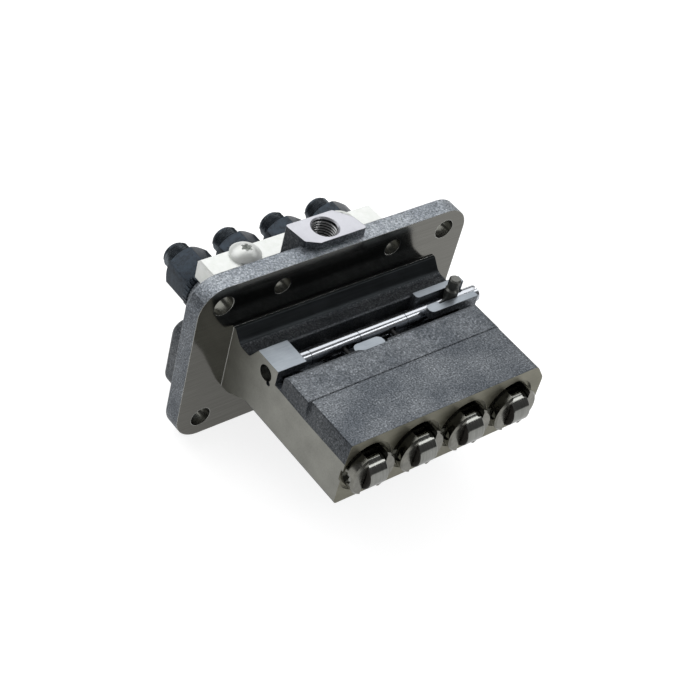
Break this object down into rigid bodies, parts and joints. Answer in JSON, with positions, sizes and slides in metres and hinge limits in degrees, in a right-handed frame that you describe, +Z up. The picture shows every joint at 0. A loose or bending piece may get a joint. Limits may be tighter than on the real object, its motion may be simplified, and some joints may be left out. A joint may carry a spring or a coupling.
{
  "type": "diesel injection pump",
  "caption": "Flange-mounted in-line fuel injection pump: iron housing, roller tappets, sliding control rack, delivery valve holders with a lock bar, and a fuel inlet boss.",
  "frame": {"origin": "centre of the four corner bolt holes, in the plane of the flange's mounting face", "axes": "+X along the row of elements towards the link pin, +Y from the tappets to the fuel outlets, +Z up to the inlet boss"},
  "size_m": [0.155, 0.1603, 0.096],
  "materials": {
    "cast_iron": "grey iron, as cast with fine shot-blasted grain, machined pads and ends",
    "ground_steel": "centreless ground",
    "black_oxide": "black oxide, semi-gloss",
    "zinc_plate": "bright zinc plate",
    "machined_steel": "fine turned",
    "hardened_steel": "hardened and ground",
    "bearing_steel": "polished bearing steel",
    "spring_steel": "shot-peened wire",
    "copper": "annealed copper",
    "seal_rubber": "matt"
  },
  "bodies": {
    "pump_body": {"pump_housing": "cast_iron", "lock_bar": "zinc_plate", "lock_bar_screws": "zinc_plate", "tappet_guide_pins": "ground_steel", "upper_spring_seats": "machined_steel", "seat_gaskets": "copper", "holder_o_rings": "seal_rubber", "barrel_1": "machined_steel", "barrel_2": "machined_steel", "barrel_3": "machined_steel", "barrel_4": "machined_steel", "delivery_valve_seat_1": "machined_steel", "delivery_valve_seat_2": "machined_steel", "delivery_valve_seat_3": "machined_steel", "delivery_valve_seat_4": "machined_steel", "delivery_valve_holder_1": "black_oxide", "delivery_valve_holder_2": "black_oxide", "delivery_valve_holder_3": "black_oxide", "delivery_valve_holder_4": "black_oxide", "plunger_spring_1": "spring_steel", "plunger_spring_2": "spring_steel", "plunger_spring_3": "spring_steel", "plunger_spring_4": "spring_steel", "delivery_valve_spring_1": "spring_steel", "delivery_valve_spring_2": "spring_steel", "delivery_valve_spring_3": "spring_steel", "delivery_valve_spring_4": "spring_steel"},
    "rack": {"control_rack": "ground_steel", "rack_link_pin": "black_oxide"},
    "tappet_group_1": {"tappet_1": "hardened_steel", "roller_pin_1": "bearing_steel", "lower_spring_seat_1": "machined_steel"},
    "roller_group_1": {"tappet_roller_1": "bearing_steel"},
    "plunger_group_1": {"plunger_1": "bearing_steel"},
    "sleeve_group_1": {"control_sleeve_1": "machined_steel"},
    "valve_group_1": {"delivery_valve_1": "machined_steel"},
    "tappet_group_2": {"tappet_2": "hardened_steel", "roller_pin_2": "bearing_steel", "lower_spring_seat_2": "machined_steel"},
    "roller_group_2": {"tappet_roller_2": "bearing_steel"},
    "plunger_group_2": {"plunger_2": "bearing_steel"},
    "sleeve_group_2": {"control_sleeve_2": "machined_steel"},
    "valve_group_2": {"delivery_valve_2": "machined_steel"},
    "tappet_group_3": {"tappet_3": "hardened_steel", "roller_pin_3": "bearing_steel", "lower_spring_seat_3": "machined_steel"},
    "roller_group_3": {"tappet_roller_3": "bearing_steel"},
    "plunger_group_3": {"plunger_3": "bearing_steel"},
    "sleeve_group_3": {"control_sleeve_3": "machined_steel"},
    "valve_group_3": {"delivery_valve_3": "machined_steel"},
    "tappet_group_4": {"tappet_4": "hardened_steel", "roller_pin_4": "bearing_steel", "lower_spring_seat_4": "machined_steel"},
    "roller_group_4": {"tappet_roller_4": "bearing_steel"},
    "plunger_group_4": {"plunger_4": "bearing_steel"},
    "sleeve_group_4": {"control_sleeve_4": "machined_steel"},
    "valve_group_4": {"delivery_valve_4": "machined_steel"}
  },
  "joints": [
    {"name": "rack_slide", "type": "slide", "parent": "pump_body", "child": "rack", "axis": [1, 0, 0], "range_m": [-0.0055, 0.0055]},
    {"name": "tappet_slide_1", "type": "slide", "parent": "pump_body", "child": "tappet_group_1", "axis": [0, 1, 0], "range_m": [0, 0.008], "stiffness_N_per_m": 20000, "springref_m": -0.004, "deforming": ["plunger_spring_1"]},
    {"name": "roller_spin_1", "type": "hinge", "parent": "tappet_group_1", "child": "roller_group_1", "pos_m": [-0.042, -0.0863, 0.005], "axis": [1, 0, 0], "continuous": true},
    {"name": "plunger_turn_1", "type": "hinge", "parent": "tappet_group_1", "child": "plunger_group_1", "pos_m": [-0.042, -0.072, 0.005], "axis": [0, 1, 0], "range_deg": [-37.5, 37.5]},
    {"name": "sleeve_turn_1", "type": "hinge", "parent": "pump_body", "child": "sleeve_group_1", "pos_m": [-0.042, -0.0355, 0.005], "axis": [0, 1, 0], "range_deg": [-37.5, 37.5]},
    {"name": "valve_lift_1", "type": "slide", "parent": "pump_body", "child": "valve_group_1", "axis": [0, 1, 0], "range_m": [0, 0.0025], "stiffness_N_per_m": 5000, "springref_m": -0.001, "deforming": ["delivery_valve_spring_1"]},
    {"name": "tappet_slide_2", "type": "slide", "parent": "pump_body", "child": "tappet_group_2", "axis": [0, 1, 0], "range_m": [0, 0.008], "stiffness_N_per_m": 20000, "springref_m": -0.004, "deforming": ["plunger_spring_2"]},
    {"name": "roller_spin_2", "type": "hinge", "parent": "tappet_group_2", "child": "roller_group_2", "pos_m": [-0.014, -0.0863, 0.005], "axis": [1, 0, 0], "continuous": true},
    {"name": "plunger_turn_2", "type": "hinge", "parent": "tappet_group_2", "child": "plunger_group_2", "pos_m": [-0.014, -0.072, 0.005], "axis": [0, 1, 0], "range_deg": [-37.5, 37.5]},
    {"name": "sleeve_turn_2", "type": "hinge", "parent": "pump_body", "child": "sleeve_group_2", "pos_m": [-0.014, -0.0355, 0.005], "axis": [0, 1, 0], "range_deg": [-37.5, 37.5]},
    {"name": "valve_lift_2", "type": "slide", "parent": "pump_body", "child": "valve_group_2", "axis": [0, 1, 0], "range_m": [0, 0.0025], "stiffness_N_per_m": 5000, "springref_m": -0.001, "deforming": ["delivery_valve_spring_2"]},
    {"name": "tappet_slide_3", "type": "slide", "parent": "pump_body", "child": "tappet_group_3", "axis": [0, 1, 0], "range_m": [0, 0.008], "stiffness_N_per_m": 20000, "springref_m": -0.004, "deforming": ["plunger_spring_3"]},
    {"name": "roller_spin_3", "type": "hinge", "parent": "tappet_group_3", "child": "roller_group_3", "pos_m": [0.014, -0.0863, 0.005], "axis": [1, 0, 0], "continuous": true},
    {"name": "plunger_turn_3", "type": "hinge", "parent": "tappet_group_3", "child": "plunger_group_3", "pos_m": [0.014, -0.072, 0.005], "axis": [0, 1, 0], "range_deg": [-37.5, 37.5]},
    {"name": "sleeve_turn_3", "type": "hinge", "parent": "pump_body", "child": "sleeve_group_3", "pos_m": [0.014, -0.0355, 0.005], "axis": [0, 1, 0], "range_deg": [-37.5, 37.5]},
    {"name": "valve_lift_3", "type": "slide", "parent": "pump_body", "child": "valve_group_3", "axis": [0, 1, 0], "range_m": [0, 0.0025], "stiffness_N_per_m": 5000, "springref_m": -0.001, "deforming": ["delivery_valve_spring_3"]},
    {"name": "tappet_slide_4", "type": "slide", "parent": "pump_body", "child": "tappet_group_4", "axis": [0, 1, 0], "range_m": [0, 0.008], "stiffness_N_per_m": 20000, "springref_m": -0.004, "deforming": ["plunger_spring_4"]},
    {"name": "roller_spin_4", "type": "hinge", "parent": "tappet_group_4", "child": "roller_group_4", "pos_m": [0.042, -0.0863, 0.005], "axis": [1, 0, 0], "continuous": true},
    {"name": "plunger_turn_4", "type": "hinge", "parent": "tappet_group_4", "child": "plunger_group_4", "pos_m": [0.042, -0.072, 0.005], "axis": [0, 1, 0], "range_deg": [-37.5, 37.5]},
    {"name": "sleeve_turn_4", "type": "hinge", "parent": "pump_body", "child": "sleeve_group_4", "pos_m": [0.042, -0.0355, 0.005], "axis": [0, 1, 0], "range_deg": [-37.5, 37.5]},
    {"name": "valve_lift_4", "type": "slide", "parent": "pump_body", "child": "valve_group_4", "axis": [0, 1, 0], "range_m": [0, 0.0025], "stiffness_N_per_m": 5000, "springref_m": -0.001, "deforming": ["delivery_valve_spring_4"]}
  ],
  "couplings": [
    {"joint": "sleeve_turn_1", "follows": "rack_slide", "rad_per_m": 117.6},
    {"joint": "plunger_turn_1", "follows": "rack_slide", "rad_per_m": 117.6},
    {"joint": "sleeve_turn_2", "follows": "rack_slide", "rad_per_m": 117.6},
    {"joint": "plunger_turn_2", "follows": "rack_slide", "rad_per_m": 117.6},
    {"joint": "sleeve_turn_3", "follows": "rack_slide", "rad_per_m": 117.6},
    {"joint": "plunger_turn_3", "follows": "rack_slide", "rad_per_m": 117.6},
    {"joint": "sleeve_turn_4", "follows": "rack_slide", "rad_per_m": 117.6},
    {"joint": "plunger_turn_4", "follows": "rack_slide", "rad_per_m": 117.6}
  ]
}
